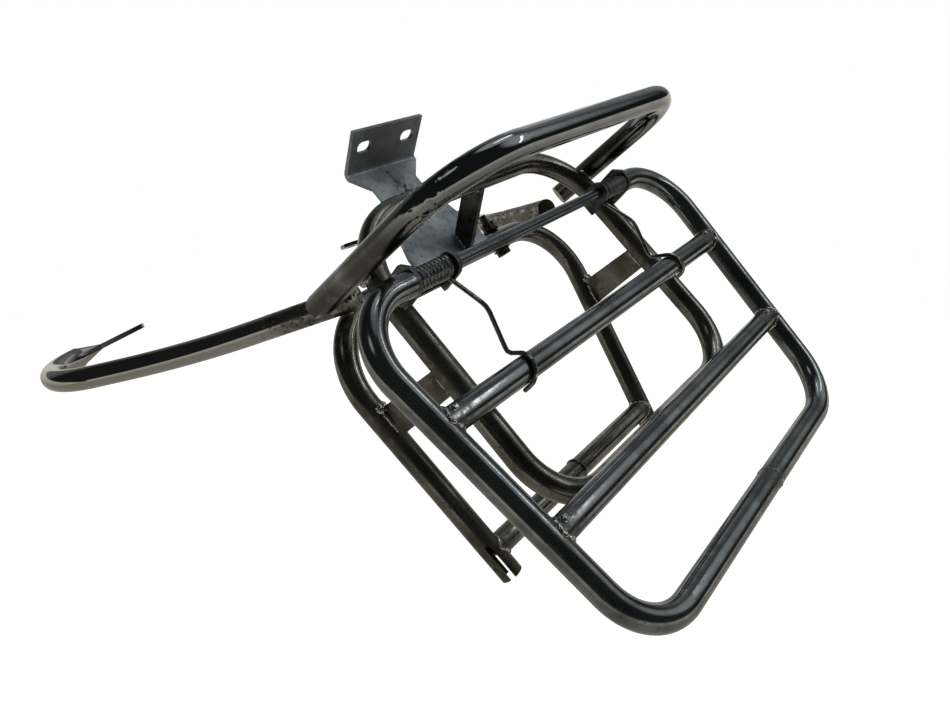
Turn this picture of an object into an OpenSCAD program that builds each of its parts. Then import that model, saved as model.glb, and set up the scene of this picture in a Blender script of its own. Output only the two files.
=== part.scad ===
// Folding luggage rack for a motor scooter, bent and welded from round steel tube.
// A fixed ring carries a sprung platform that folds down onto the hoop in front of it.
// Behind the ring a support loop, two side arms and a drilled bracket hold the rack to the scooter.
// The parts are drawn upright about the hinge line and then leaned back until the bracket's
// flange is level. X runs across the rack, Y to the back and Z up the ring.

/* [Tube] */
// Outside diameter of the main tubes
tube_d = 16; // [14:0.5:18]
// Wall of the tubes, seen at their open ends
tube_wall = 1.5; // [1:0.25:2.5]
// Outside diameter of the platform's two crossbars
bar_d = 15.5; // [12:0.5:18]

/* [Platform] */
// Half the platform's width at the hinge, between tube centres
plat_half_hinge = 180.4; // [178:0.2:190]
// Half the platform's width at its free end
plat_half_end = 149; // [130:1:170]
// Height of the platform from the hinge line to the free end
plat_h = 224.3; // [205:0.1:260]
// Bend radius at the free end
plat_bend_r = 42; // [30:1:55]
// Bend radius at the two hinge corners
plat_hinge_r = 40; // [30:1:42]
// Height of the inner crossbar above the hinge line
bar_inner_z = 75; // [70:1:90]
// Height of the outer crossbar above the hinge line
bar_outer_z = 151.9; // [125:0.1:160]

/* [Ring] */
// Half the ring's width between tube centres
ring_half = 120; // [117:0.5:122]
// Ring's lower tube, measured down from the hinge line
ring_low = 57; // [55:0.5:60]
// Ring's upper tube, measured up from the hinge line
ring_high = 153.7; // [135:0.1:175]
// Distance of the ring behind the hinge line
ring_back = 24; // [22:0.5:28]
// Bend radius of the ring's two lower corners
ring_low_r = 54; // [50:1:56]
// Bend radius of the ring's two upper corners
ring_high_r = 42; // [30:1:50]

/* [Support loop] */
// How far the loop's sides stand out past the ring's, level with the hinge line
loop_out = 14; // [12:0.5:20]
// Distance of the loop behind the hinge line, level with it
loop_back = 86.5; // [80:0.5:94]
// Narrowing of the loop on each side for each millimetre of height
loop_taper = 0.183; // [0.16:0.001:0.2]
// How far the loop leans back for each millimetre of height
loop_lean = 0.184; // [0.15:0.001:0.22]
// Loop's crossing tube, measured down from the hinge line
loop_low = 30; // [28:0.5:32]
// Height of the loop's two open ends above the hinge line
loop_high = 168; // [162:1:190]
// Bend radius of the loop's corners
loop_bend_r = 50; // [47:0.5:52]
// Depth of the bore in each open end
end_bore = 60; // [35:1:90]
// Width of the lengthwise slit in each open end
slit_w = 3.5; // [2:0.25:5]
// Depth of the lengthwise slit
slit_depth = 28; // [18:1:32]
// Width of the saw cut across each open end's outer lobe
kerf_w = 1.2; // [0.8:0.1:2]
// Distance of the saw cut from the tube's end
kerf_from_end = 12; // [8:0.5:16]
// Height of the tube that joins the loop's two sides
cross_z = 148; // [135:1:150]

/* [Hoop] */
// Distance of the hoop's crossing in front of the hinge line
hoop_front = 81; // [78:0.5:90]
// Bend radius of the hoop's corners
hoop_bend_r = 51; // [46:1:53]
// Outward spread of the hoop's legs for each millimetre towards the back
hoop_spread = 0.061; // [0.04:0.001:0.08]
// Drop of the hoop's legs for each millimetre towards the back
hoop_drop = 0.136; // [0.12:0.002:0.15]
// Direction from the ring's lower corner to the hoop's leg, below the level, in degrees
hoop_weld_angle = 21.7; // [20:0.1:24]
// Reach of the hoop's legs behind the ring, along their outer sides
hoop_leg_back = 40; // [36:1:44]
// Slope of the cut at the end of each leg, in degrees
hoop_cut_angle = 40; // [30:1:50]

/* [Side arms] */
// How far each arm starts inside the weld of the hoop's leg
arm_in = 22.3; // [21:0.1:23]
// How far each arm starts in front of the support loop's crossing
arm_front = 23; // [20:0.5:26]
// How far each arm starts above the support loop's crossing
arm_up = 2.4; // [1:0.1:4]
// How far each arm spreads out between its start and its gentle bow
bow_out = 56.9; // [54:0.1:60]
// How far the bow lies behind the arm's start
bow_back = 108; // [102:1:114]
// How far the bow lies below the arm's start
bow_drop = 53.1; // [50:0.1:56]
// Radius of the gentle bow
bow_r = 400; // [250:10:500]
// How far each arm spreads out between its start and its elbow
elbow_out = 141.7; // [132:0.1:150]
// How far the elbow lies behind the arm's start
elbow_back = 197.1; // [188:0.1:206]
// How far the elbow lies below the arm's start
elbow_drop = 116.4; // [110:0.1:122]
// Bend radius of the elbow
elbow_r = 50; // [38:1:51]
// How far each arm runs back in from its elbow
tip_in = 132.7; // [120:0.1:145]
// How far the tip lies behind the elbow
tip_back = 39.4; // [30:0.2:46]
// How far the tip lies below the elbow
tip_drop = 29.6; // [22:0.2:36]
// Length of the flattened tab at the end of each arm
tab_len = 56; // [42:1:58]
// Length over which the round tube is squashed flat
squash_len = 14; // [8:1:16]
// Thickness of the flattened tab
tab_t = 4; // [3:0.25:6]
// Width of the flattened tab
tab_w = 22; // [18:0.5:26]
// Diameter of the bolt hole in each tab
tab_hole_d = 8.5; // [6:0.5:10]

/* [Hinge] */
// Diameter of the hinge rod
rod_d = 8; // [6:0.25:9]
// Running clearance of the rod in the ears, on the radius
rod_gap = 0.08; // [0.04:0.01:0.1]
// Thickness of the hinge brackets' sheet
ear_t = 3; // [2:0.25:3.5]
// How far each hinge bracket stands out past the ring's tube centre
ear_over = 4; // [2:0.25:5]
// Width of each hinge bracket over its two ears
hinge_w = 37.5; // [32:0.5:42]
// Radius of the ears about the hinge line
ear_r = 8; // [7:0.25:9]
// Depth of the outer ears below the hinge line
ear_down = 12; // [10:0.5:14]
// Height of each hinge bracket's back above the hinge line
back_up = 4.5; // [2:0.5:6]
// Thickness of the spring wires
wire_d = 3; // [2:0.25:3.25]
// Outside diameter of the spacer sleeve
sleeve_d = 14; // [12:0.5:16]

/* [Bracket] */
// Thickness of the mounting bracket's sheet
sheet_t = 3; // [2:0.25:4]
// Inner radius of the bracket's fold
fold_r = 3; // [2:0.25:5]
// Depth of the fold's centre below the hinge line
fold_low = 115.7; // [110:0.1:122]
// Width of the bracket's flange
flange_w = 72; // [68:1:90]
// Depth of the flange in front of the fold
flange_d = 31.3; // [28:0.1:40]
// Distance between the two slots in the flange
slot_pitch = 45; // [40:1:50]
// Distance of the slots from the fold
slot_at = 17.6; // [14:0.2:20]
// Width of each flange slot
slot_w = 9; // [6:0.5:10]
// Overall length of each flange slot
slot_l = 14.5; // [11:0.5:17]
// Width of the bracket's neck
neck_w = 46; // [36:1:56]
// Width of the bracket where it meets the support loop
foot_w = 80; // [74:1:90]
// Lean of the ring when the flange is level, in degrees
lean = 20; // [10:1:30]

/* [Fixings] */
// Diameter of the cross bolt
bolt_d = 6; // [5:0.5:7]
// Width of the bolt's head and nut across their flats
bolt_af = 10; // [9:0.5:11]
// Outside diameter of the cross bolt's washers
washer_d = 14; // [12:0.5:18]
// Length of the cross bolt's thread that stands out past its nut
thread_end = 7; // [2:0.5:10]
// Distance of the cross bolt to the left of the middle
bolt_left = 61; // [54:1:70]
// Width of the flat stay
stay_w = 16; // [12:1:20]
// Thickness of the flat stay
stay_t = 4; // [3:0.5:6]
// Distance of the flat stay to the left of the middle
stay_left = 15; // [8:1:24]
// Thickness of the gusset plates
gusset_t = 3; // [2:0.25:5]
// Height of the gussets' middle above the hinge line at the ring
gusset_ring_z = 51.5; // [48:0.5:60]
// Depth of the gussets at the ring
gusset_ring_h = 17.5; // [12:0.5:24]
// Height of the gussets' middle above the hinge line at the loop
gusset_loop_z = 45; // [42:1:52]
// Depth of the gussets at the loop
gusset_loop_h = 22; // [14:0.5:26]

/* [Hidden] */
$fn = 48;
chrome = [0.62, 0.63, 0.64];
dull_steel = [0.42, 0.41, 0.38];
zinc = [0.56, 0.59, 0.62];
spring_steel = [0.35, 0.35, 0.34];
tube_r = tube_d / 2;
bore_r = tube_r - tube_wall;
bar_r = bar_d / 2;
rod_r = rod_d / 2;
wire_r = wire_d / 2;
bolt_r = bolt_d / 2;
// Welded pieces stand this far apart, so that no two of them overlap
weld_gap = 0.1;
// Each straight runs this far into the bends beside it, and the bends are this much fuller
lap = 0.8;
fuller = 0.03;

function unit(v) = v / norm(v);
function mirror_x(p) = [-p[0], p[1], p[2]];

// A frame at p with its Z axis along d and its X axis towards s
function frame_at(p, d, s) =
    let (
        z = unit(d),
        x = unit(s - z * (s * z)),
        y = cross(z, x)
    )
    [[x[0], y[0], z[0], p[0]], [x[1], y[1], z[1], p[1]], [x[2], y[2], z[2], p[2]], [0, 0, 0, 1]];

// Angle through which a path turns at corner i, and the length its bend takes from each side
function turn(path, i) = acos(unit(path[i] - path[i - 1]) * unit(path[i + 1] - path[i]));
function tangent(path, radii, i) = radii[i] == 0 ? 0 : radii[i] * tan(turn(path, i) / 2);

// A rod of radius r from a to b, for any direction but halfway between X and Z
module straight(a, b, r) {
    multmatrix(frame_at(a, b - a, [1, 0, 1]))
        cylinder(r = r, h = norm(b - a));
}

// A bend of radius bend_r at corner i of a path
module bend(path, bend_r, i, r) {
    u = unit(path[i] - path[i - 1]);
    v = unit(path[i + 1] - path[i]);
    across = unit(v - u * (u * v));
    centre = path[i] - u * bend_r * tan(turn(path, i) / 2) + across * bend_r;
    multmatrix(frame_at(centre, cross(across, u) * -1, -across))
        rotate_extrude(angle = turn(path, i))
            translate([bend_r, 0])
                circle(r = r);
}

// A round tube along a path of corner points, each with its own bend radius, 0 at both ends
module bent_tube(path, radii, r) {
    last = len(path) - 1;
    for (i = [0:last - 1]) {
        run = unit(path[i + 1] - path[i]);
        from = i == 0 ? 0 : tangent(path, radii, i) - lap;
        to = i == last - 1 ? 0 : tangent(path, radii, i + 1) - lap;
        straight(path[i] + run * from, path[i + 1] - run * to, r);
    }
    for (i = [1:last - 1])
        bend(path, radii[i], i, r + fuller);
}

// Ring: one tube bent into a rounded rectangle and butt welded at the middle of its lower side
ring_low_mid = [0, ring_back, -ring_low];
ring_path = [
    ring_low_mid,
    [ring_half, ring_back, -ring_low],
    [ring_half, ring_back, ring_high],
    [-ring_half, ring_back, ring_high],
    [-ring_half, ring_back, -ring_low],
    ring_low_mid
];
ring_radii = [0, ring_low_r, ring_high_r, ring_high_r, ring_low_r, 0];
module ring() {
    color(dull_steel)
        bent_tube(ring_path, ring_radii, tube_r);
}

// Support loop: one tube bent into a tapering U, with its two upper ends open and slit
function loop_at(z) = [ring_half + loop_out - loop_taper * z, loop_back + loop_lean * z, z];
loop_corner = loop_at(-loop_low);
loop_end = loop_at(loop_high);
loop_side = unit(loop_end - loop_corner);
loop_plane_up = unit([0, loop_lean, 1]);
loop_path = [loop_end, loop_corner, mirror_x(loop_corner), mirror_x(loop_end)];
kerf_depth = 3.5;
module loop_end_cuts() {
    multmatrix(frame_at(loop_end, loop_side, [1, -1, 0])) {
        translate([0, 0, -end_bore])
            cylinder(r = bore_r, h = end_bore + 1);
        translate([-tube_d, -slit_w / 2, -slit_depth])
            cube([2 * tube_d, slit_w, slit_depth + 1]);
        translate([-tube_d, tube_r - kerf_depth, -kerf_from_end])
            cube([2 * tube_d, tube_d, kerf_w]);
    }
}
module support_loop() {
    color(dull_steel)
        difference() {
            bent_tube(loop_path, [0, loop_bend_r, loop_bend_r, 0], tube_r);
            loop_end_cuts();
            mirror([1, 0, 0])
                loop_end_cuts();
            multmatrix(bolt_frame)
                cylinder(r = bolt_r + weld_gap, h = 2 * tube_d, center = true);
        }
}

// Cross tube: coped between the loop's two sides, with a weld bead round its middle
bead_r = 2.2;
module loop_cross_tube() {
    cross_end = loop_at(cross_z);
    color(dull_steel)
        difference() {
            union() {
                straight(mirror_x(cross_end), cross_end, tube_r);
                translate([0, cross_end[1], cross_z])
                    rotate([0, 90, 0])
                        rotate_extrude()
                            translate([tube_r - bead_r / 2, 0])
                                circle(r = bead_r);
            }
            straight(loop_corner, loop_end, tube_r + weld_gap);
            straight(mirror_x(loop_corner), mirror_x(loop_end), tube_r + weld_gap);
        }
}

// Gussets: plates that join the ring's sides to the loop's sides
module gusset_right() {
    near = [ring_half, ring_back, gusset_ring_z];
    far = loop_at(gusset_loop_z);
    along = [far[0] - near[0], far[1] - near[1], 0];
    color(dull_steel)
        difference() {
            multmatrix(frame_at([near[0], near[1], 0], cross(along, [0, 0, 1]), along))
                translate([0, 0, -gusset_t / 2])
                    linear_extrude(height = gusset_t)
                        polygon([
                            [0, near[2] - gusset_ring_h / 2],
                            [norm(along), far[2] - gusset_loop_h / 2],
                            [norm(along), far[2] + gusset_loop_h / 2],
                            [0, near[2] + gusset_ring_h / 2]
                        ]);
            straight(ring_path[1], ring_path[2], tube_r + weld_gap);
            straight(loop_corner, loop_end, tube_r + weld_gap);
        }
}
module gusset_left() {
    mirror([1, 0, 0])
        gusset_right();
}

// Hoop: its legs pass under the ring's lower corners, and the folded-down platform rests on it.
// Each leg's end is cut on a slant where it lies against a side arm.
ring_corner_reach = ring_low_r + tube_d + 2.5 * weld_gap;
hoop_weld = [
    ring_half - ring_low_r + ring_corner_reach * cos(hoop_weld_angle),
    ring_back,
    ring_low_r - ring_low - ring_corner_reach * sin(hoop_weld_angle)
];
hoop_leg = [hoop_spread, 1, -hoop_drop];
hoop_corner = hoop_weld - hoop_leg * (hoop_front + ring_back);
hoop_end = hoop_weld + hoop_leg * (hoop_leg_back + tube_d * tan(hoop_cut_angle));
hoop_path = [hoop_end, hoop_corner, mirror_x(hoop_corner), mirror_x(hoop_end)];
module hoop_end_cut() {
    arm_start_tube();
    translate(hoop_weld + hoop_leg * hoop_leg_back + [tube_r, 0, 0])
        rotate([0, 0, hoop_cut_angle])
            translate([-4 * tube_d, 0, -tube_d])
                cube([5 * tube_d, 2 * tube_d, 2 * tube_d]);
}
module hoop() {
    color(chrome)
        difference() {
            bent_tube(hoop_path, [0, hoop_bend_r, hoop_bend_r, 0], tube_r);
            hoop_end_cut();
            mirror([1, 0, 0])
                hoop_end_cut();
        }
}

// Side arms: welded to the hoop's legs, with a gentle bow, an elbow and a flattened, drilled end
arm_start = [hoop_weld[0] - arm_in, loop_corner[1] - arm_front, loop_corner[2] + arm_up];
arm_bow = arm_start + [bow_out, bow_back, -bow_drop];
arm_elbow = arm_start + [elbow_out, elbow_back, -elbow_drop];
arm_tip = arm_elbow + [-tip_in, tip_back, -tip_drop];
tab_dir = unit(arm_tip - arm_elbow);
arm_tube_end = arm_tip - tab_dir * (tab_len + squash_len);
arm_path = [arm_start, arm_bow, arm_elbow, arm_tube_end];
tab_face = [0.09, -0.39, -0.92];
tab_normal = cross(cross(tab_dir, tab_face), tab_dir);
tab_frame = frame_at(arm_tube_end, tab_normal, tab_dir);
squash_start_r = tube_r - 0.3;
module arm_start_tube() {
    straight(arm_start, arm_bow, tube_r + weld_gap);
}
module arm_tab() {
    flat_len = tab_len - tab_w / 2;
    hull() {
        translate([-lap, 0, 0])
            rotate([0, 90, 0])
                cylinder(r = squash_start_r, h = 0.1, $fn = 32);
        translate([squash_len + 1, -tab_w / 2 + fuller, -tab_t / 2 + fuller])
            cube([0.1, tab_w - 2 * fuller, tab_t - 2 * fuller]);
    }
    translate([squash_len, 0, -tab_t / 2])
        difference() {
            linear_extrude(height = tab_t)
                union() {
                    translate([0, -tab_w / 2])
                        square([flat_len, tab_w]);
                    translate([flat_len, 0])
                        circle(r = tab_w / 2);
                }
            translate([flat_len, 0, -1])
                cylinder(r = tab_hole_d / 2, h = tab_t + 2);
        }
}
module arm_right() {
    color(chrome) {
        bent_tube(arm_path, [0, bow_r, elbow_r, 0], tube_r);
        multmatrix(tab_frame)
            arm_tab();
    }
}
module arm_left() {
    mirror([1, 0, 0])
        arm_right();
}

// Mounting bracket: folded sheet with a slotted flange, a slotted neck and a wide foot on the loop
web_y = loop_corner[1] - tube_r - weld_gap - sheet_t / 2;
web_front = web_y - sheet_t / 2;
fold_at = [0, web_front - fold_r, -fold_low];
web_top = -loop_low;
neck_low = 14.7;
neck_high = 23.7;
shoulder = 62.7;
web_slot_w = 3;
web_slot_l = 12;
web_slot_z = 3.7;
module web_outline() {
    half = [
        [flange_w / 2, -lap],
        [flange_w / 2, 1],
        [neck_w / 2, neck_low],
        [neck_w / 2, neck_high],
        [foot_w / 2 - 4, shoulder],
        [foot_w / 2, shoulder + 12],
        [foot_w / 2, web_top + fold_low]
    ];
    polygon(concat(half, [for (i = [len(half) - 1:-1:0]) [-half[i][0], half[i][1]]]));
}
module flange_slot() {
    for (end = [-1, 1])
        translate([end * (slot_l - slot_w) / 2, 0, 0])
            cylinder(r = slot_w / 2, h = 3 * sheet_t, center = true);
    cube([slot_l - slot_w, slot_w, 3 * sheet_t], center = true);
}
module mount_bracket() {
    color(zinc)
        translate(fold_at) {
            difference() {
                translate([0, fold_r + sheet_t, 0])
                    rotate([90, 0, 0])
                        linear_extrude(height = sheet_t)
                            web_outline();
                translate([-web_slot_w / 2, fold_r - 1, web_slot_z])
                    cube([web_slot_w, sheet_t + 2, web_slot_l]);
            }
            rotate([0, 90, 0])
                rotate([0, 0, lean])
                    translate([0, 0, -flange_w / 2])
                        rotate_extrude(angle = 90 - lean)
                            translate([fold_r - fuller, 0])
                                square([sheet_t + 2 * fuller, flange_w]);
            rotate([lean, 0, 0])
                difference() {
                    translate([-flange_w / 2, -flange_d, -fold_r - sheet_t])
                        cube([flange_w, flange_d + lap, sheet_t]);
                    for (side = [-1, 1])
                        translate([side * slot_pitch / 2, -slot_at, -fold_r - sheet_t / 2])
                            flange_slot();
                }
        }
}

// Stay: flat bar on edge from the ring's lower tube back to the bracket
stay_low = [-stay_left, ring_back, -ring_low];
stay_high = [-stay_left, loop_corner[1], -loop_low];
module stay() {
    color(dull_steel)
        difference() {
            multmatrix(frame_at(stay_low, [1, 0, 0], stay_high - stay_low))
                translate([0, -stay_w / 2, -stay_t / 2])
                    cube([norm(stay_high - stay_low), stay_w, stay_t]);
            straight(ring_path[4], ring_path[1], tube_r + weld_gap);
            translate([-stay_left - stay_w, web_front - weld_gap, -ring_low])
                cube([2 * stay_w, ring_low, 2 * ring_low]);
        }
}

// Hinge brackets: sheet folded into a U on each side of the ring, its rounded ears drilled for the rod
hinge_out = ring_half + ear_over;
hinge_in = hinge_out - hinge_w;
hinge_back = ring_back - tube_r - weld_gap;
outer_face = hinge_out - ear_t;
inner_face = hinge_in + ear_t;
ear_bevel = 6;
module ear(x, low_edge) {
    translate([x, 0, 0])
        rotate([90, 0, 90])
            linear_extrude(height = ear_t)
                union() {
                    circle(r = ear_r);
                    polygon(concat(low_edge, [[hinge_back, ear_r], [0, ear_r]]));
                }
}
module hinge_bracket_right() {
    color(dull_steel)
        difference() {
            union() {
                ear(hinge_in, [[0, -ear_r], [hinge_back, -ear_r]]);
                ear(outer_face, [
                    [-ear_r, 0],
                    [-ear_r, ear_bevel - ear_down],
                    [ear_bevel - ear_r, -ear_down],
                    [hinge_back, -ear_down]
                ]);
                translate([hinge_in + lap, hinge_back - ear_t, -ear_r])
                    cube([hinge_w - 2 * lap, ear_t, ear_r + back_up]);
            }
            straight([hinge_in - 1, 0, 0], [hinge_out + 1, 0, 0], rod_r + rod_gap);
        }
}
module hinge_bracket_left() {
    mirror([1, 0, 0])
        hinge_bracket_right();
}

// Cross bolt: through the loop's crossing, with a washer and a nut under it
bolt_frame = frame_at([-bolt_left, loop_corner[1], -loop_low], loop_plane_up, [1, 0, 0]);
washer_t = 1.2;
washer_seat = tube_r + weld_gap / 2;
head_h = 4;
nut_h = 6;
hex_r = bolt_af / 2 / cos(30);
seat_out = washer_seat + washer_t + weld_gap / 2;
module cross_bolt() {
    color(zinc)
        multmatrix(bolt_frame) {
            translate([0, 0, seat_out])
                cylinder(r = hex_r, h = head_h, $fn = 6);
            translate([0, 0, -seat_out - nut_h - thread_end])
                cylinder(r = bolt_r, h = 2 * seat_out + nut_h + thread_end + 1);
        }
}
module cross_nut() {
    color(zinc)
        multmatrix(bolt_frame)
            translate([0, 0, -seat_out - nut_h])
                difference() {
                    cylinder(r = hex_r, h = nut_h, $fn = 6);
                    translate([0, 0, -1])
                        cylinder(r = bolt_r + weld_gap, h = nut_h + 2);
                }
}
module cross_washers() {
    color(zinc)
        multmatrix(bolt_frame)
            for (z = [washer_seat, -washer_seat - washer_t])
                translate([0, 0, z])
                    difference() {
                        cylinder(r = washer_d / 2, h = washer_t);
                        translate([0, 0, -1])
                            cylinder(r = bolt_r + weld_gap, h = washer_t + 2);
                    }
}

// Platform: bent tube whose two ends turn in to the hinge and take the rod, with straight stubs
plat_gap = 0.4;
plat_tube_x = hinge_out + plat_gap;
rod_socket = 15;
hinge_corner = [plat_half_hinge, 0, 0];
end_corner = [plat_half_end, 0, plat_h];
plat_path = [
    [plat_tube_x, 0, 0],
    hinge_corner,
    end_corner,
    mirror_x(end_corner),
    mirror_x(hinge_corner),
    [-plat_tube_x, 0, 0]
];
hinge_stub = 9.9;
hinge_turn = 90 + atan((plat_half_hinge - plat_half_end) / plat_h);
hinge_bend_r = min(plat_hinge_r, (plat_half_hinge - plat_tube_x - hinge_stub) / tan(hinge_turn / 2));
plat_radii = [0, hinge_bend_r, plat_bend_r, plat_bend_r, hinge_bend_r, 0];
module platform_tube() {
    color(chrome)
        difference() {
            bent_tube(plat_path, plat_radii, tube_r);
            for (side = [-1, 1])
                straight(
                    [side * (plat_tube_x - 1), 0, 0],
                    [side * (plat_tube_x + rod_socket + 1), 0, 0],
                    rod_r + weld_gap
                );
        }
}

// Crossbars: coped between the platform's sides
module crossbar(z) {
    half = plat_half_hinge + (plat_half_end - plat_half_hinge) * z / plat_h;
    difference() {
        straight([-half, 0, z], [half, 0, z], bar_r);
        straight(hinge_corner, end_corner, tube_r + weld_gap);
        straight(mirror_x(hinge_corner), mirror_x(end_corner), tube_r + weld_gap);
    }
}
module crossbar_inner() {
    color(chrome)
        crossbar(bar_inner_z);
}
module crossbar_outer() {
    color(chrome)
        crossbar(bar_outer_z);
}

// Hinge rod: turns in the ears with the platform and ends inside the platform's tube
module hinge_rod() {
    rod_end = [plat_tube_x + rod_socket, 0, 0];
    color(dull_steel)
        straight(mirror_x(rod_end), rod_end, rod_r);
}

// Spacer sleeve: fills the left hinge beside the wire's turn
wire_gap = 0.3;
leg_x = inner_face + wire_gap + wire_r;
module spacer_sleeve() {
    color(dull_steel)
        difference() {
            straight(
                [-outer_face + wire_gap, 0, 0],
                [-leg_x - wire_r - wire_gap, 0, 0],
                sleeve_d / 2
            );
            straight([-hinge_out, 0, 0], [-hinge_in, 0, 0], rod_r + rod_gap);
        }
}

// A wire along a list of points, as a closed skin of rings
wire_sides = 8;
function wire_ring(path, i) =
    let (
        ahead = path[min(i + 1, len(path) - 1)],
        behind = path[max(i - 1, 0)],
        t = unit(ahead - behind),
        s = unit(cross(t, [1, 0, 0])),
        w = cross(t, s)
    )
    [for (k = [0:wire_sides - 1])
        path[i] + wire_r * (cos(360 * k / wire_sides) * s + sin(360 * k / wire_sides) * w)];
function wire_skin(rings) = [
    for (i = [0:rings - 2], k = [0:wire_sides - 1])
        let (
            a = i * wire_sides + k,
            b = i * wire_sides + (k + 1) % wire_sides
        )
        each [[a, a + wire_sides, b + wire_sides], [a, b + wire_sides, b]]
];
module wire(path) {
    last = (len(path) - 1) * wire_sides;
    polyhedron(
        points = [for (i = [0:len(path) - 1]) each wire_ring(path, i)],
        faces = concat(
            [[for (k = [0:wire_sides - 1]) k]],
            wire_skin(len(path)),
            [[for (k = [wire_sides - 1:-1:0]) last + k]]
        )
    );
}

// Route of both wires: off the rod, up through three kinks and round the inner crossbar
turn_gap = 0.1;
coil_r = rod_r + wire_r + wire_gap;
hook_r = bar_r + wire_r + turn_gap;
leg_angle = 14.3;
hook_from = -125;
hook_to = -270;
hook_shift = 10;
tail = 5;
kink_round = 4;
function turn_point(angle) = [coil_r * cos(angle), coil_r * sin(angle)];
function hook_point(angle) = [hook_r * cos(angle), bar_inner_z + hook_r * sin(angle)];
leg_corners = [
    turn_point(leg_angle),
    [-4.5, 33.5],
    [5.4, bar_inner_z - 14.2],
    hook_point(hook_from)
];
function rounded_kink(i) =
    let (
        b = leg_corners[i],
        u = unit(b - leg_corners[i - 1]),
        v = unit(leg_corners[i + 1] - b)
    )
    [b - u * kink_round, b + (v - u) * kink_round / 4, b + v * kink_round];
leg_yz = concat(
    rounded_kink(1),
    rounded_kink(2),
    [for (angle = [hook_from:-16:hook_to]) hook_point(angle)],
    [[tail, bar_inner_z + hook_r]]
);
function at_x(x, points) = [for (p = points) [x, p[0], p[1]]];
function slanted_leg(side) = [
    for (i = [0:len(leg_yz) - 1])
        let (shift = hook_shift * max(0, i - 2) / (len(leg_yz) - 3))
        [side * (leg_x + shift), leg_yz[i][0], leg_yz[i][1]]
];

// Torsion spring: coil round the rod in the right hinge, its leg hooked over the inner crossbar
coil_pitch = wire_d + turn_gap;
coil_room = outer_face - inner_face - 2 * wire_gap - wire_d;
coil_turns = floor(coil_room / coil_pitch + 0.01);
coil_steps = 16;
module torsion_spring() {
    coil = [for (k = [coil_turns * coil_steps:-1:0])
        let (p = turn_point(leg_angle - 360 * k / coil_steps))
        [leg_x + coil_pitch * k / coil_steps, p[0], p[1]]];
    color(spring_steel)
        wire(concat(coil, slanted_leg(1)));
}

// Left wire: the same leg, wound most of one turn round the rod beside the inner ear
left_turn = 280;
module left_wire() {
    part_turn = [for (angle = [leg_angle - left_turn:20:leg_angle]) turn_point(angle)];
    color(spring_steel)
        wire(concat(at_x(-leg_x, part_turn), slanted_leg(-1)));
}

// The rack leans back until the flange is level, with the origin midway between its slots
slot_mid = fold_at
    + [0, -cos(lean), -sin(lean)] * slot_at
    + [0, sin(lean), -cos(lean)] * (fold_r + sheet_t);
module placed() {
    rotate([-lean, 0, 0])
        translate(-slot_mid)
            children();
}

placed() {
    ring();
    support_loop();
    loop_cross_tube();
    gusset_right();
    gusset_left();
    hoop();
    arm_right();
    arm_left();
    mount_bracket();
    stay();
    hinge_bracket_right();
    hinge_bracket_left();
    cross_bolt();
    cross_nut();
    cross_washers();
    platform_tube();
    crossbar_inner();
    crossbar_outer();
    hinge_rod();
    spacer_sleeve();
    torsion_spring();
    left_wire();
}
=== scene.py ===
"""A folding motorcycle luggage rack: its finishes, weld beads, light and camera over the CAD frame."""

import math
import random

import bpy
from mathutils import Matrix, Vector


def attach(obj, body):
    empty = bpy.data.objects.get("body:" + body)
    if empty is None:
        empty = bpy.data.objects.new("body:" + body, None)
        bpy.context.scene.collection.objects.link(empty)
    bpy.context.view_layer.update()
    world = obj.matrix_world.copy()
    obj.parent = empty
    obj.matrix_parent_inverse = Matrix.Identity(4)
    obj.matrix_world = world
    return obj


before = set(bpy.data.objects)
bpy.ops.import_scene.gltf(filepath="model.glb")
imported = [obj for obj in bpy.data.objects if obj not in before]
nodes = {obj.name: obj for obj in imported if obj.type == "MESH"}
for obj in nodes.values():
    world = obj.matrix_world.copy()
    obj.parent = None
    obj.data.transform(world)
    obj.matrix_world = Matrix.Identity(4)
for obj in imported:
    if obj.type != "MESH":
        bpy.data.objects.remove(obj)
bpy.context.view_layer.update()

# Camera. It stands where the photographer stood and sees the rack lying upside down.
# Its place and its directions were fitted to the straight tubes in the picture.
camera_place = Vector((0.40799, -0.24521, 0.33405))
camera_right = Vector((-0.60441, -0.24662, 0.75753))
camera_up = Vector((-0.38537, -0.74170, -0.54893))
camera_back = camera_right.cross(camera_up)
camera_data = bpy.data.cameras.new("camera")
camera_data.sensor_width = 36.0
camera_data.lens = 28.8
camera_data.clip_start = 0.01
camera = bpy.data.objects.new("camera", camera_data)
bpy.context.scene.collection.objects.link(camera)
camera_axes = Matrix((camera_right, camera_up, camera_back)).transposed()
camera.matrix_world = Matrix.Translation(camera_place) @ camera_axes.to_4x4()
bpy.context.scene.camera = camera
bpy.context.scene.view_settings.view_transform = "Standard"

# Surroundings. The camera sees plain white. The plating mirrors a dark room over a pale floor, with
# windows in the places where the photographed chrome shows them: behind the rack, overhead and at
# the upper right. Directions are given as right, up and back from the camera.
FLOOR_UP = (0.0, 0.84, 0.54)
DARK_ROOM = "2b2e2f"
FLOOR_FAR = "f6f3ea"
FLOOR_NEAR = "bcb8ad"
WINDOWS = (
    # right, up, back, cosine at the edge, cosine where it is full, colour
    (0.15, 0.74, -0.66, 0.78, 0.95, "979d9f"),
    (-0.75, 0.35, -0.56, 0.84, 0.96, "7d8182"),
    (0.72, 0.68, 0.12, 0.89, 0.96, "dde2e4"),
    (0.12, 0.95, 0.12, 0.94, 0.96, "e9edf0"),
    (-0.47, 0.62, 0.63, 0.985, 0.992, "ffffff"),
)
WHITE = (1.0, 1.0, 1.0, 1.0)


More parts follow.
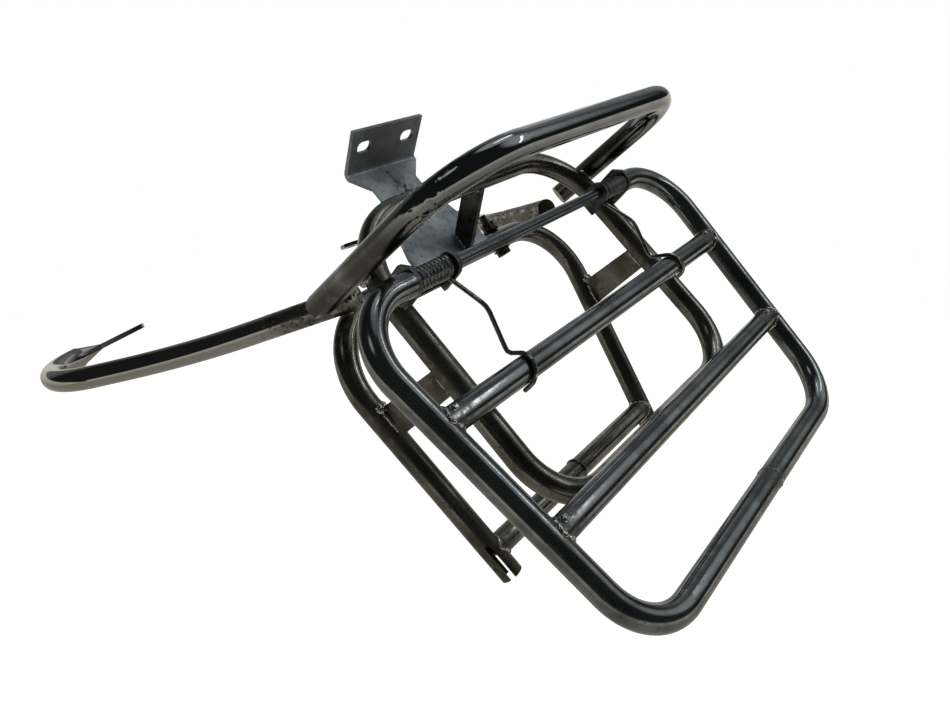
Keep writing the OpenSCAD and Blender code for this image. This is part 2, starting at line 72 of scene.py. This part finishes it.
def linear(hex_colour):
    """An sRGB hex colour as linear RGBA."""
    out = []
    for i in (0, 2, 4):
        c = int(hex_colour[i : i + 2], 16) / 255
        out.append(c / 12.92 if c <= 0.04045 else ((c + 0.055) / 1.055) ** 2.4)
    return (*out, 1.0)


def add_node(tree, kind, inputs=None, **settings):
    """A shader node with its settings, and its inputs set or linked by name or number."""
    node = tree.nodes.new(kind)
    for key, value in settings.items():
        setattr(node, key, value)
    for key, value in (inputs or {}).items():
        if isinstance(value, bpy.types.NodeSocket):
            tree.links.new(value, node.inputs[key])
        else:
            node.inputs[key].default_value = value
    return node


def from_camera(right, up, back):
    """A direction or offset given from the camera, in the row frame."""
    return camera_right * right + camera_up * up + camera_back * back


world = bpy.data.worlds.new("studio")
bpy.context.scene.world = world
world.use_nodes = True
sky = world.node_tree
sky.nodes.clear()
direction = add_node(sky, "ShaderNodeTexCoord").outputs["Generated"]


def facing(right, up, back, low, high):
    """A mask over the world that rises from 0 to 1 as its direction nears the given one."""
    way = from_camera(right, up, back).normalized()
    dot = add_node(sky, "ShaderNodeVectorMath", {0: direction, 1: way}, operation="DOT_PRODUCT")
    rise = {0: dot.outputs["Value"], 1: low, 2: high}
    return add_node(sky, "ShaderNodeMapRange", rise, clamp=True).outputs[0]


room = linear(DARK_ROOM)
for right, up, back, edge, full, colour in WINDOWS:
    pane = {"Factor": facing(right, up, back, edge, full), 6: room, 7: linear(colour)}
    room = add_node(sky, "ShaderNodeMix", pane, data_type="RGBA").outputs[2]
fade = {"Factor": facing(*FLOOR_UP, -0.42, -0.12), 6: linear(FLOOR_NEAR), 7: linear(FLOOR_FAR)}
ground = add_node(sky, "ShaderNodeMix", fade, data_type="RGBA").outputs[2]
horizon = {"Factor": facing(*FLOOR_UP, -0.07, -0.02), 6: ground, 7: room}
around = add_node(sky, "ShaderNodeMix", horizon, data_type="RGBA").outputs[2]
mirrored_room = add_node(sky, "ShaderNodeBackground", {"Color": around, "Strength": 1.0}).outputs[0]
white_room = add_node(sky, "ShaderNodeBackground", {"Color": WHITE, "Strength": 1.0}).outputs[0]
sky_path = add_node(sky, "ShaderNodeLightPath")
seen_room = {0: sky_path.outputs["Is Camera Ray"], 1: mirrored_room, 2: white_room}
surroundings = add_node(sky, "ShaderNodeMixShader", seen_room).outputs[0]
add_node(sky, "ShaderNodeOutputWorld", {"Surface": surroundings})

# Lamps. Soft window panes in front of the windows of the surroundings: a tall one at the right, a
# narrow one overhead, and a wide, weak one behind the rack.
LEAN = math.radians(20)
SLOT_MID = Vector((0.0, 52.394, -127.358))


def placed(x, y, z):
    """A point of the upright drawing about the hinge line, in mm, as metres in the row frame."""
    d = Vector((x, y, z)) - SLOT_MID
    back = d.y * math.cos(LEAN) + d.z * math.sin(LEAN)
    up = -d.y * math.sin(LEAN) + d.z * math.cos(LEAN)
    return Vector((d.x, back, up)) / 1000


subject = placed(40, 60, 60)
LAMPS = (
    # name, right, up, back, width and height in metres, watts, colour
    ("window_right", 1.1, 1.0, 0.2, 0.07, 0.8, 1.6, "f8faff"),
    ("window_overhead", 0.25, 1.45, 0.15, 0.50, 0.10, 0.7, "ffffff"),
    ("window_behind", 0.1, 1.1, -1.0, 1.0, 0.4, 0.5, "f3f6ff"),
)
for name, right, up, back, width, height, watts, colour in LAMPS:
    pane = bpy.data.lights.new(name, "AREA")
    pane.shape = "RECTANGLE"
    pane.size = width
    pane.size_y = height
    pane.energy = watts
    pane.color = linear(colour)[:3]
    lamp = bpy.data.objects.new(name, pane)
    bpy.context.scene.collection.objects.link(lamp)
    lamp.location = subject + from_camera(right, up, back)
    lamp.rotation_euler = (subject - lamp.location).to_track_quat("-Z", "Y").to_euler()

# Floor. A plain pale board under the rack, level in the picture. It is white to the camera with a
# faint shadow, pale to the plating, and clear from behind, so that it hides nothing in other views.
FLOOR_SIZE = 1.8
FLOOR_DROP = 0.30
floor_up = from_camera(*FLOOR_UP).normalized()
bpy.ops.mesh.primitive_plane_add(size=FLOOR_SIZE)
floor = bpy.context.object
floor.name = "floor"
floor.rotation_euler = floor_up.to_track_quat("Z", "Y").to_euler()
floor.location = subject - floor_up * FLOOR_DROP
board = bpy.data.materials.new("pale_board")
board.use_nodes = True
bt = board.node_tree
bt.nodes.clear()
board_matt = add_node(bt, "ShaderNodeBsdfDiffuse", {"Color": linear("d9d6cd")}).outputs[0]
board_white = add_node(bt, "ShaderNodeEmission", {"Color": WHITE, "Strength": 0.97}).outputs[0]
board_pale = add_node(bt, "ShaderNodeEmission", {"Color": linear(FLOOR_NEAR), "Strength": 1.0}).outputs[0]
board_clear = add_node(bt, "ShaderNodeBsdfTransparent").outputs[0]
board_lit = add_node(bt, "ShaderNodeAddShader", {0: board_white, 1: board_matt}).outputs[0]
behind = add_node(bt, "ShaderNodeNewGeometry").outputs["Backfacing"]
board_seen = add_node(bt, "ShaderNodeMixShader", {0: behind, 1: board_lit, 2: board_clear}).outputs[0]
path = add_node(bt, "ShaderNodeLightPath").outputs
to_plating = {0: path["Is Glossy Ray"], 1: board_matt, 2: board_pale}
board_unseen = add_node(bt, "ShaderNodeMixShader", to_plating).outputs[0]
to_camera = {0: path["Is Camera Ray"], 1: board_unseen, 2: board_seen}
board_surface = add_node(bt, "ShaderNodeMixShader", to_camera).outputs[0]
add_node(bt, "ShaderNodeOutputMaterial", {"Surface": board_surface})
floor.data.materials.append(board)


class Finish:
    """A metal surface that is built up in layers of wear and dirt, each laid on through masks."""

    def __init__(self, name, colour, metallic, roughness):
        self.material = bpy.data.materials.new(name)
        self.material.use_nodes = True
        self.tree = self.material.node_tree
        self.place = add_node(self.tree, "ShaderNodeTexCoord").outputs["Object"]
        self.look = {"Base Color": linear(colour), "Metallic": metallic, "Roughness": roughness}

    def patches(self, size_mm, low, high, detail=4.0, stretch=None):
        """A mask of cloudy patches of a size in mm, which rises from 0 to 1 between two levels."""
        at = self.place
        if stretch:
            at = add_node(self.tree, "ShaderNodeMapping", {"Vector": at, "Scale": stretch}).outputs[0]
        cloud = {"Vector": at, "Scale": 1000 / size_mm, "Detail": detail}
        level = add_node(self.tree, "ShaderNodeTexNoise", cloud).outputs["Fac"]
        rise = {0: level, 1: low, 2: high}
        return add_node(self.tree, "ShaderNodeMapRange", rise, clamp=True).outputs[0]

    def near(self, spots, reach_mm):
        """A mask that is 1 at the given places and fades to 0 at a reach in mm from them."""
        reach = reach_mm / 1000
        mask = 0.0
        for spot in spots:
            gap = {0: self.place, 1: spot}
            away = add_node(self.tree, "ShaderNodeVectorMath", gap, operation="DISTANCE").outputs["Value"]
            rise = {0: away, 1: reach, 2: reach * 0.3}
            here = add_node(self.tree, "ShaderNodeMapRange", rise, clamp=True).outputs[0]
            either = {0: mask, 1: here}
            mask = add_node(self.tree, "ShaderNodeMath", either, operation="MAXIMUM").outputs[0]
        return mask

    def where(self, *masks):
        """One mask that is the product of the given masks and shares."""
        product = masks[0]
        for mask in masks[1:]:
            both = {0: product, 1: mask}
            product = add_node(self.tree, "ShaderNodeMath", both, operation="MULTIPLY").outputs[0]
        return product

    def layer(self, *masks, colour=None, roughness=None, metallic=None):
        """Lays another finish over the surface where the masks are all 1."""
        mask = self.where(*masks)
        if colour:
            over = {"Factor": mask, 6: self.look["Base Color"], 7: linear(colour)}
            self.look["Base Color"] = add_node(
                self.tree, "ShaderNodeMix", over, data_type="RGBA"
            ).outputs[2]
        for key, value in (("Roughness", roughness), ("Metallic", metallic)):
            if value is not None:
                over = {"Factor": mask, 2: self.look[key], 3: value}
                self.look[key] = add_node(self.tree, "ShaderNodeMix", over).outputs[0]

    def raise_by(self, height_mm, *masks):
        """Raises the surface by a height in mm where the masks are all 1."""
        bump = {"Height": self.where(*masks), "Distance": height_mm / 1000, "Strength": 1.0}
        self.look["Normal"] = add_node(self.tree, "ShaderNodeBump", bump).outputs[0]

    def done(self):
        """The material, with its layers joined to the shader."""
        shader = self.tree.nodes["Principled BSDF"]
        for key, value in self.look.items():
            if isinstance(value, bpy.types.NodeSocket):
                self.tree.links.new(value, shader.inputs[key])
            else:
                shader.inputs[key].default_value = value
        return self.material


def dress(finish, *names, crease=30):
    """Gives CAD nodes a finish, and shades them smoothly between edges sharper than the crease."""
    material = finish.done()
    for name in names:
        node = nodes[name]
        node.data.materials.clear()
        node.data.materials.append(material)
        for polygon in node.data.polygons:
            polygon.use_smooth = True
        edges = node.modifiers.new("hard_edges", "EDGE_SPLIT")
        edges.split_angle = math.radians(crease)


def both_sides(points):
    """The drawing's points and their mirror images, in the row frame."""
    out = []
    for x, y, z in points:
        out += [placed(x, y, z), placed(-x, y, z)]
    return out


ripple_spots = [placed(122, -50, -19), placed(117, -58, -18)]
leg_middles = both_sides([(130, 8, -27), (129, -10, -24), (132, 45, -31), (133, 60, -34)])
hoop_chrome = Finish("polished_chrome_plate", "808180", 1.0, 0.06)
# Hazy areas a finger's width across, where the polish has gone.
hoop_chrome.layer(hoop_chrome.patches(16.67, 0.45, 0.75), colour="6f7275", roughness=0.12)
# Ripples of 9 mm on the near bend, which break up the edges of what it mirrors.
hoop_chrome.raise_by(
    0.4, hoop_chrome.near(ripple_spots, 20), hoop_chrome.patches(9.09, 0.45, 0.62, detail=2.0)
)
# Olive film on the legs, in 14 mm clouds.
hoop_chrome.layer(
    hoop_chrome.near(leg_middles, 34),
    hoop_chrome.patches(14.29, 0.20, 0.45),
    0.9,
    colour="43423a",
    roughness=0.30,
)
# Fine scuffs, 1 mm wide and drawn out along the tube's height.
hoop_chrome.layer(
    hoop_chrome.patches(1.111, 0.62, 0.70, detail=2.0, stretch=(1, 1, 0.15)),
    0.5,
    colour="5f5e58",
    roughness=0.3,
)
dress(hoop_chrome, "hoop")

# Side arms. Two bent tubes that run back to the vehicle, squashed flat and drilled at their ends.
# They have the brightest chrome of the rack, black and white like a mirror. Behind the weld it is
# pitted and brown-grey for the width of a hand.
arm_starts = both_sides([(116, 70, -33), (124, 86, -41)])
arm_starts += [placed(-135, 107, -52), placed(-148, 132, -64)]
arm_chrome = Finish("bright_chrome_plate", "918f8a", 1.0, 0.04)
arm_chrome.layer(arm_chrome.patches(16.67, 0.50, 0.80), roughness=0.09)
# Dull film from the heat of the weld, in 7 mm clouds.
arm_chrome.layer(
    arm_chrome.near(arm_starts, 36),
    arm_chrome.patches(6.667, 0.30, 0.50),
    0.9,
    colour="55544c",
    roughness=0.42,
)
# Pits in the plating, 2.4 mm across with their rims.
arm_chrome.layer(
    arm_chrome.near(arm_starts, 44),
    arm_chrome.patches(2.381, 0.55, 0.62),
    colour="2e2b25",
    roughness=0.7,
    metallic=0.3,
)
dress(arm_chrome, "arm_right", "arm_left")

# Platform. A bent frame of 16 mm tube with two bars welded across it, on which the luggage stands.
# Its chrome is thin and dark, with a soft sheen and scuffs from parcels. It is dirty round the ends
# of the bars, and has a rough butt joint on the end rail.
HALF_WIDTH_AT_HINGE = 180.4
HALF_WIDTH_AT_END = 149.0
PLATFORM_LENGTH = 224.3
BAR_HEIGHTS = (75.0, 151.9)
JOINT_X = -17.0


def platform_side(z):
    """Half the platform's width at a height."""
    taper = (HALF_WIDTH_AT_END - HALF_WIDTH_AT_HINGE) * z / PLATFORM_LENGTH
    return HALF_WIDTH_AT_HINGE + taper


bar_ends = both_sides([(platform_side(z) - 8, 0, z) for z in BAR_HEIGHTS])
joint_mark = [placed(JOINT_X, 0, PLATFORM_LENGTH), placed(JOINT_X + 6, 0, PLATFORM_LENGTH)]
dark_chrome = Finish("dark_chrome_plate", "787b7b", 0.88, 0.10)
# Duller areas of 22 mm, and within them worn streaks of 6 mm.
dark_chrome.layer(dark_chrome.patches(22.22, 0.42, 0.66), colour="57595a", roughness=0.19)
dark_chrome.layer(
    dark_chrome.patches(6.25, 0.50, 0.70, detail=6.0, stretch=(1.0, 1.0, 0.5)),
    0.5,
    colour="4a4e50",
    roughness=0.28,
)
# Specks of dirt and pits, 1.4 mm across.
dark_chrome.layer(dark_chrome.patches(1.429, 0.64, 0.70, detail=2.0), 0.6, colour="45443f", roughness=0.45)
# Grime in the corners of the bars, and burnt plating at the butt joint.
dark_chrome.layer(
    dark_chrome.near(bar_ends, 20),
    dark_chrome.patches(4.545, 0.35, 0.62),
    0.9,
    colour="4d4c45",
    roughness=0.55,
)
dark_chrome.layer(
    dark_chrome.near(joint_mark, 13),
    dark_chrome.patches(3.333, 0.42, 0.52),
    0.9,
    colour="2b2a28",
    roughness=0.6,
    metallic=0.5,
)
dress(dark_chrome, "platform_tube", "crossbar_inner", "crossbar_outer")

# Ring, support loop, cross tube and gussets. The fixed frame behind the platform: bent 16 mm tube,
# joined by welded sheet gussets. It was plated with the rest, but is dulled by an olive-grey patina
# with stains, and is darkest round the welds.
frame_welds = both_sides([(120, 30, 51), (125, 88, 45), (120, 20, 0), (112, 108, 148)])
old_chrome = Finish("patinated_chrome_plate", "72716a", 0.86, 0.15)
# Patina in clouds of 26 mm.
old_chrome.layer(old_chrome.patches(26.32, 0.40, 0.66), colour="48473e", roughness=0.26)
# Brown stains and pits of 2.4 mm.
old_chrome.layer(
    old_chrome.patches(2.381, 0.60, 0.70, detail=3.0),
    0.7,
    colour="302c24",
    roughness=0.65,
    metallic=0.4,
)
# Grime beside the welds, in 8 mm clouds.
old_chrome.layer(
    old_chrome.near(frame_welds, 30),
    old_chrome.patches(8.333, 0.30, 0.60),
    0.9,
    colour="4a4838",
    roughness=0.60,
    metallic=0.6,
)
# The slight unevenness of plating over drawn tube, 2 mm from crest to crest.
old_chrome.raise_by(0.01, old_chrome.patches(2.0, 0.45, 0.75))
dress(old_chrome, "ring", "support_loop", "loop_cross_tube", "gusset_right", "gusset_left")

# Mounting bracket. One folded piece of sheet steel with two slots, zinc coated. The coating gives a
# soft blue-grey shine with blotches and scratches. Its flange is darker, and its neck has one brown
# rust spot.
zinc = Finish("zinc_coated_sheet", "a0a7ac", 0.75, 0.42)
# The blotches of the coating, 14 mm across.
zinc.layer(zinc.patches(14.29, 0.42, 0.62), colour="858c91", roughness=0.52)
# Dark specks, 2 mm across.
zinc.layer(zinc.patches(2.0, 0.60, 0.68, detail=3.0), 0.7, colour="403f3c", roughness=0.6, metallic=0.2)
# The rust spot on the neck, 22 mm across and broken up at 4 mm.
zinc.layer(
    zinc.near([placed(-3, 69.9, -95)], 11),
    zinc.patches(3.846, 0.42, 0.60),
    colour="4b3320",
    roughness=0.8,
    metallic=0.0,
)
# The stain over the flange.
zinc.layer(zinc.near([placed(0, 50, -122)], 50), 0.75, colour="55585a", roughness=0.5)
zinc.raise_by(0.1, zinc.patches(3.03, 0.40, 0.75))
dress(zinc, "mount_bracket")

# Stay, hinge brackets and sleeve. Strips of flat bar and folded sheet, and a short tube on the rod.
# They are bare steel, oiled and darkened, with dirt that dulls them further.
bare_steel = Finish("dark_bare_steel", "57585a", 0.9, 0.38)
# Dirt in 8 mm clouds, and specks of rust of 1.7 mm.
bare_steel.layer(bare_steel.patches(8.333, 0.45, 0.65), colour="3a3936", roughness=0.55)
bare_steel.layer(
    bare_steel.patches(1.667, 0.60, 0.70), 0.5, colour="40342a", roughness=0.8, metallic=0.2
)
dress(bare_steel, "stay", "hinge_bracket_right", "hinge_bracket_left", "spacer_sleeve")

# Hinge rod. A length of plain drawn bar, on which the platform swings. Drawing leaves a smooth skin
# with a soft blue-grey sheen and faint marks along its length.
drawn_steel = Finish("drawn_steel_bar", "555b5f", 1.0, 0.24)
# Draw marks 7 mm wide and four times as long.
drawn_steel.layer(
    drawn_steel.patches(6.667, 0.45, 0.62, stretch=(0.25, 1.0, 1.0)), colour="3f4345", roughness=0.40
)
dress(drawn_steel, "hinge_rod")

# Torsion spring and wire. Hard-drawn spring wire, wound on the rod and hooked over the inner bar.
# It is oiled, so that its grey shines softly on every turn.
spring_steel = Finish("oiled_spring_steel", "8a8c8c", 0.95, 0.20)
# Dirt in the oil, in patches of 3 mm.
spring_steel.layer(spring_steel.patches(3.333, 0.45, 0.65), colour="565550", roughness=0.35)
dress(spring_steel, "torsion_spring", "left_wire", crease=65)

# Cross bolt, nut and washers. Plain fasteners of blackened steel, which look almost matt.
black_steel = Finish("blackened_fastener_steel", "4c4b48", 0.85, 0.45)
# Dirt in patches of 2 mm.
black_steel.layer(black_steel.patches(2.0, 0.45, 0.62), colour="2f2d29", roughness=0.65)
dress(black_steel, "cross_bolt", "cross_nut", "cross_washers")

# Weld beads on the platform. Lumpy strands of filler metal, laid by hand round the four ends of the
# bars and the butt joint on the end rail, and plated over, so that they glint. The welder ended
# each seam on a blob at the front.
TUBE_R = 8.0
BAR_R = 7.75
BEAD_SIDES = 10
# Shares of a bead's radius by which it swells in turn and at random, and of its section at a tip.
SWELL = 0.16
SWELL_TURN = 1.9
JITTER = 0.14
TIP = 0.04
# Radii of the beads at the bars' ends, of the blobs by them and of the butt joint's bead, in mm.
BAR_BEAD_R = 1.6
BLOB_R_RIGHT = 2.5
BLOB_R_LEFT = 2.2
BUTT_BEAD_R = 0.6
# Where each blob starts from the side tube's middle and the bar's, and its step, in mm.
BLOB_IN = 13.0
BLOB_FRONT = 6.3
BLOB_DOWN = 4.0
BLOB_STEP = 1.1
BUTT_STEPS = 40
weld_plate = Finish("plated_weld_metal", "b4b4ae", 0.9, 0.18)
# Soot in patches of 2.4 mm, and ripples of 1 mm.
weld_plate.layer(weld_plate.patches(2.381, 0.52, 0.66), colour="5a584f", roughness=0.4, metallic=0.8)
weld_plate.raise_by(0.05, weld_plate.patches(1.111, 0.35, 0.75))
weld_material = weld_plate.done()
ripple = random.Random(8)


class Beads:
    """All the weld beads that ride on one body, as one mesh. Points are in the drawing's mm."""

    def __init__(self):
        self.points = []
        self.faces = []

    def strand(self, line, radius, closed=False):
        """A bead of round section along a line, swollen and pinched, with ends that taper off."""
        count = len(line)
        first = len(self.points)
        for i, p in enumerate(line):
            ahead = line[(i + 1) % count] if closed or i < count - 1 else p
            behind = line[i - 1] if closed or i > 0 else p
            run = (ahead - behind).normalized()
            side = run.orthogonal().normalized()
            up = run.cross(side)
            lump = radius * (1 + SWELL * math.sin(i * SWELL_TURN) + ripple.uniform(-JITTER, JITTER))
            if not closed:
                lump *= math.sqrt(max(TIP, math.sin(math.pi * (i + 0.3) / (count - 0.4))))
            for k in range(BEAD_SIDES):
                a = 2 * math.pi * k / BEAD_SIDES
                out = side * math.cos(a) + up * math.sin(a)
                self.points.append(placed(*(p + out * lump)))
        for i in range(count if closed else count - 1):
            here = first + i * BEAD_SIDES
            there = first + (i + 1) % count * BEAD_SIDES
            for k in range(BEAD_SIDES):
                turn = (k + 1) % BEAD_SIDES
                self.faces.append((here + k, here + turn, there + turn, there + k))
        if not closed:
            last = first + (count - 1) * BEAD_SIDES
            self.faces.append(tuple(first + k for k in reversed(range(BEAD_SIDES))))
            self.faces.append(tuple(last + k for k in range(BEAD_SIDES)))

    def line(self, start, end, radius, steps=14):
        """A straight bead."""
        self.strand([start.lerp(end, i / (steps - 1)) for i in range(steps)], radius)

    def piece(self, name, body):
        """The beads as one smooth piece on a body."""
        mesh = bpy.data.meshes.new(name)
        mesh.from_pydata(self.points, [], self.faces)
        mesh.materials.append(weld_material)
        for polygon in mesh.polygons:
            polygon.use_smooth = True
        made = bpy.data.objects.new(name, mesh)
        bpy.context.scene.collection.objects.link(made)
        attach(made, body)


def cope_line(start, run, r, through, other_run, other_r, steps=40):
    """Where the surface of a tube that runs from start meets another tube's surface."""
    side = run.orthogonal().normalized()
    up = run.cross(side)
    across = run - other_run * run.dot(other_run)
    out = []
    for i in range(steps):
        a = 2 * math.pi * i / steps
        p = start + (side * math.cos(a) + up * math.sin(a)) * r
        gap = p - through
        gap = gap - other_run * gap.dot(other_run)
        half_b = gap.dot(across)
        root = half_b * half_b - across.dot(across) * (gap.dot(gap) - other_r * other_r)
        out.append(p + run * ((-half_b - math.sqrt(max(root, 0.0))) / across.dot(across)))
    return out


def on_side(line, side):
    """A line of points on the rack's right side, for 1, or mirrored to its left, for -1."""
    return [Vector((p.x * side, p.y, p.z)) for p in line]


X_AXIS = Vector((1, 0, 0))
platform_beads = Beads()
rail_start = Vector((HALF_WIDTH_AT_HINGE, 0, 0))
rail_run = Vector((HALF_WIDTH_AT_END - HALF_WIDTH_AT_HINGE, 0, PLATFORM_LENGTH)).normalized()
for z in BAR_HEIGHTS:
    seam = cope_line(Vector((0, 0, z)), X_AXIS, BAR_R, rail_start, rail_run, TUBE_R)
    blob_x = platform_side(z) - BLOB_IN
    blob = [Vector((blob_x + i * BLOB_STEP, -BLOB_FRONT, z - BLOB_DOWN)) for i in range(6)]
    platform_beads.strand(seam, BAR_BEAD_R, closed=True)
    platform_beads.strand(on_side(seam, -1), BAR_BEAD_R, closed=True)
    platform_beads.strand(blob, BLOB_R_RIGHT)
    platform_beads.strand(on_side(blob, -1), BLOB_R_LEFT)
butt_joint = []
butt_r = TUBE_R - 0.1
for i in range(BUTT_STEPS):
    a = i / (BUTT_STEPS / 2) * math.pi
    butt_joint.append(Vector((JOINT_X, butt_r * math.cos(a), PLATFORM_LENGTH + butt_r * math.sin(a))))
platform_beads.strand(butt_joint, BUTT_BEAD_R, closed=True)
platform_beads.piece("weld_beads_platform", "platform")

# Weld beads on the frame. The same filler metal, round the ends of the loop's cross tube, along
# both faces of each gusset and of the stay, where the ring meets the hoop, and on the side arms
# beside the hoop's slanted ends.
CROSS_HEIGHT = 148
CROSS_BEAD_R = 1.4
LOOP_HALF = 134
LOOP_TAPER = 0.183
LOOP_BACK = 86.5
LOOP_LEAN = 0.184
RING_HALF = 120.0
RING_BACK = 24.0
GUSSET_HEIGHT = 45
GUSSET_HALF_SHEET = 1.7
GUSSET_AT_RING = (43, 60)
GUSSET_AT_LOOP = (34, 56)
GUSSET_BEAD_R = 1.7
GUSSET_BLOB = (-3, 5)
GUSSET_BLOB_R = 3.0
BRACKET_SIDES = (115.5, 123.8)
BRACKET_BACK = 16.6
BRACKET_BEAD = (-8, 4.5)
BRACKET_BEAD_R = 1.2


def loop_side(z):
    """The middle of the support loop's right side at a height."""
    return Vector((LOOP_HALF - LOOP_TAPER * z, LOOP_BACK + LOOP_LEAN * z, z))


def up_by(height):
    """A step up the drawing."""
    return Vector((0, 0, height))


frame_beads = Beads()
loop_run = (loop_side(CROSS_HEIGHT) - loop_side(0)).normalized()
cross_start = Vector((0, loop_side(CROSS_HEIGHT).y, CROSS_HEIGHT))
cross_seam = cope_line(cross_start, X_AXIS, TUBE_R, loop_side(0), loop_run, TUBE_R)
at_loop = loop_side(GUSSET_HEIGHT)
gusset_run = Vector((at_loop.x - RING_HALF, at_loop.y - RING_BACK, 0)).normalized()
gusset_face = gusset_run.cross(up_by(1)) * GUSSET_HALF_SHEET
ring_seat = Vector((RING_HALF, RING_BACK, 0)) + gusset_run * TUBE_R
seams = []
for face in (gusset_face, -gusset_face):
    low, high = [ring_seat + face + up_by(z) for z in GUSSET_AT_RING]
    seams.append((low, high, GUSSET_BEAD_R))
    low, high = [loop_side(z) - gusset_run * TUBE_R + face for z in GUSSET_AT_LOOP]
    seams.append((low, high, GUSSET_BEAD_R))
    seams.append((*[low + up_by(z) for z in GUSSET_BLOB], GUSSET_BLOB_R))
# Beside the hinge brackets, on the ring.
for x in BRACKET_SIDES:
    seams.append((*[Vector((x, BRACKET_BACK, z)) for z in BRACKET_BEAD], BRACKET_BEAD_R))
for side in (1, -1):
    frame_beads.strand(on_side(cross_seam, side), CROSS_BEAD_R, closed=True)
    for start, end, radius in seams:
        frame_beads.line(*on_side((start, end), side), radius)

# Under the ring's lower corners, where they touch the hoop's legs: a small closed seam on a saddle.
TOUCH_ANGLE = math.radians(21.7)
TOUCH_R = 5.5
TOUCH_BEAD_R = 2.2
RING_CORNER = Vector((66, RING_BACK, -3))
RING_CORNER_REACH = 62
corner_out = Vector((math.cos(TOUCH_ANGLE), 0, -math.sin(TOUCH_ANGLE)))
corner_run = Vector((math.sin(TOUCH_ANGLE), 0, math.cos(TOUCH_ANGLE)))
touch = RING_CORNER + corner_out * RING_CORNER_REACH
saddle = []
for i in range(24):
    a = 2 * math.pi * i / 24
    u = TOUCH_R * math.cos(a)
    v = TOUCH_R * math.sin(a)
    dip = (v * v - u * u) / (4 * TUBE_R)
    saddle.append(touch + Vector((0, u, 0)) + corner_run * v + corner_out * dip)
for side in (1, -1):
    frame_beads.strand(on_side(saddle, side), TOUCH_BEAD_R, closed=True)

# On the side arms, beside the slanted ends of the hoop's legs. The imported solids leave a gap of
# 10 mm between leg and arm, so these beads lie on the arms and don't reach the hoop.
LEG_BACK = 40
LEG_SLANT = 13.0
LEG_BEAD_R = 1.9
LEG_BEAD_POINTS = 16
LEAST_LIFT_SQUARED = 6.0
leg_run = Vector((0.061, 1, -0.136))
leg_weld = Vector((131.27, 24, -28.97))
arm_start = Vector((108.97, 57.98, -27.6))
arm_run = Vector((56.9, 108, -53.1)).normalized()
for turn in (1, -1):
    seam = []
    for i in range(LEG_BEAD_POINTS):
        leg_at = leg_weld + leg_run * (LEG_BACK + LEG_SLANT * i / (LEG_BEAD_POINTS - 1))
        arm_at = arm_start + arm_run * (leg_at - arm_start).dot(arm_run)
        across = arm_at - leg_at
        lift = math.sqrt(max(TUBE_R**2 - across.length_squared / 4, LEAST_LIFT_SQUARED))
        seam.append(leg_at + across / 2 + leg_run.cross(across).normalized() * lift * turn)
    for side in (1, -1):
        frame_beads.strand(on_side(seam, side), LEG_BEAD_R)

# On both faces of the stay, at the ring and at the bracket.
STAY_FACES = (-17.2, -12.8)
STAY_FOOT = -57
STAY_WIDTH = 13.0
STAY_BEAD_R = 1.3
STAY_BEAD_POINTS = 12
BRACKET_FRONT = 69.4
BRACKET_SEAM = (-44, -31)
stay_run = Vector((0, 56.98, 27)).normalized()
stay_rise = Vector((0, -stay_run.z, stay_run.y))
for x in STAY_FACES:
    foot = Vector((x, RING_BACK, STAY_FOOT))
    seam = []
    for i in range(STAY_BEAD_POINTS):
        v = -STAY_WIDTH / 2 + STAY_WIDTH * i / (STAY_BEAD_POINTS - 1)
        seam.append(foot + stay_run * math.sqrt(TUBE_R**2 - v * v) + stay_rise * v)
    frame_beads.strand(seam, STAY_BEAD_R)
    frame_beads.line(*[Vector((x, BRACKET_FRONT, z)) for z in BRACKET_SEAM], STAY_BEAD_R)
frame_beads.piece("weld_beads_frame", "frame")
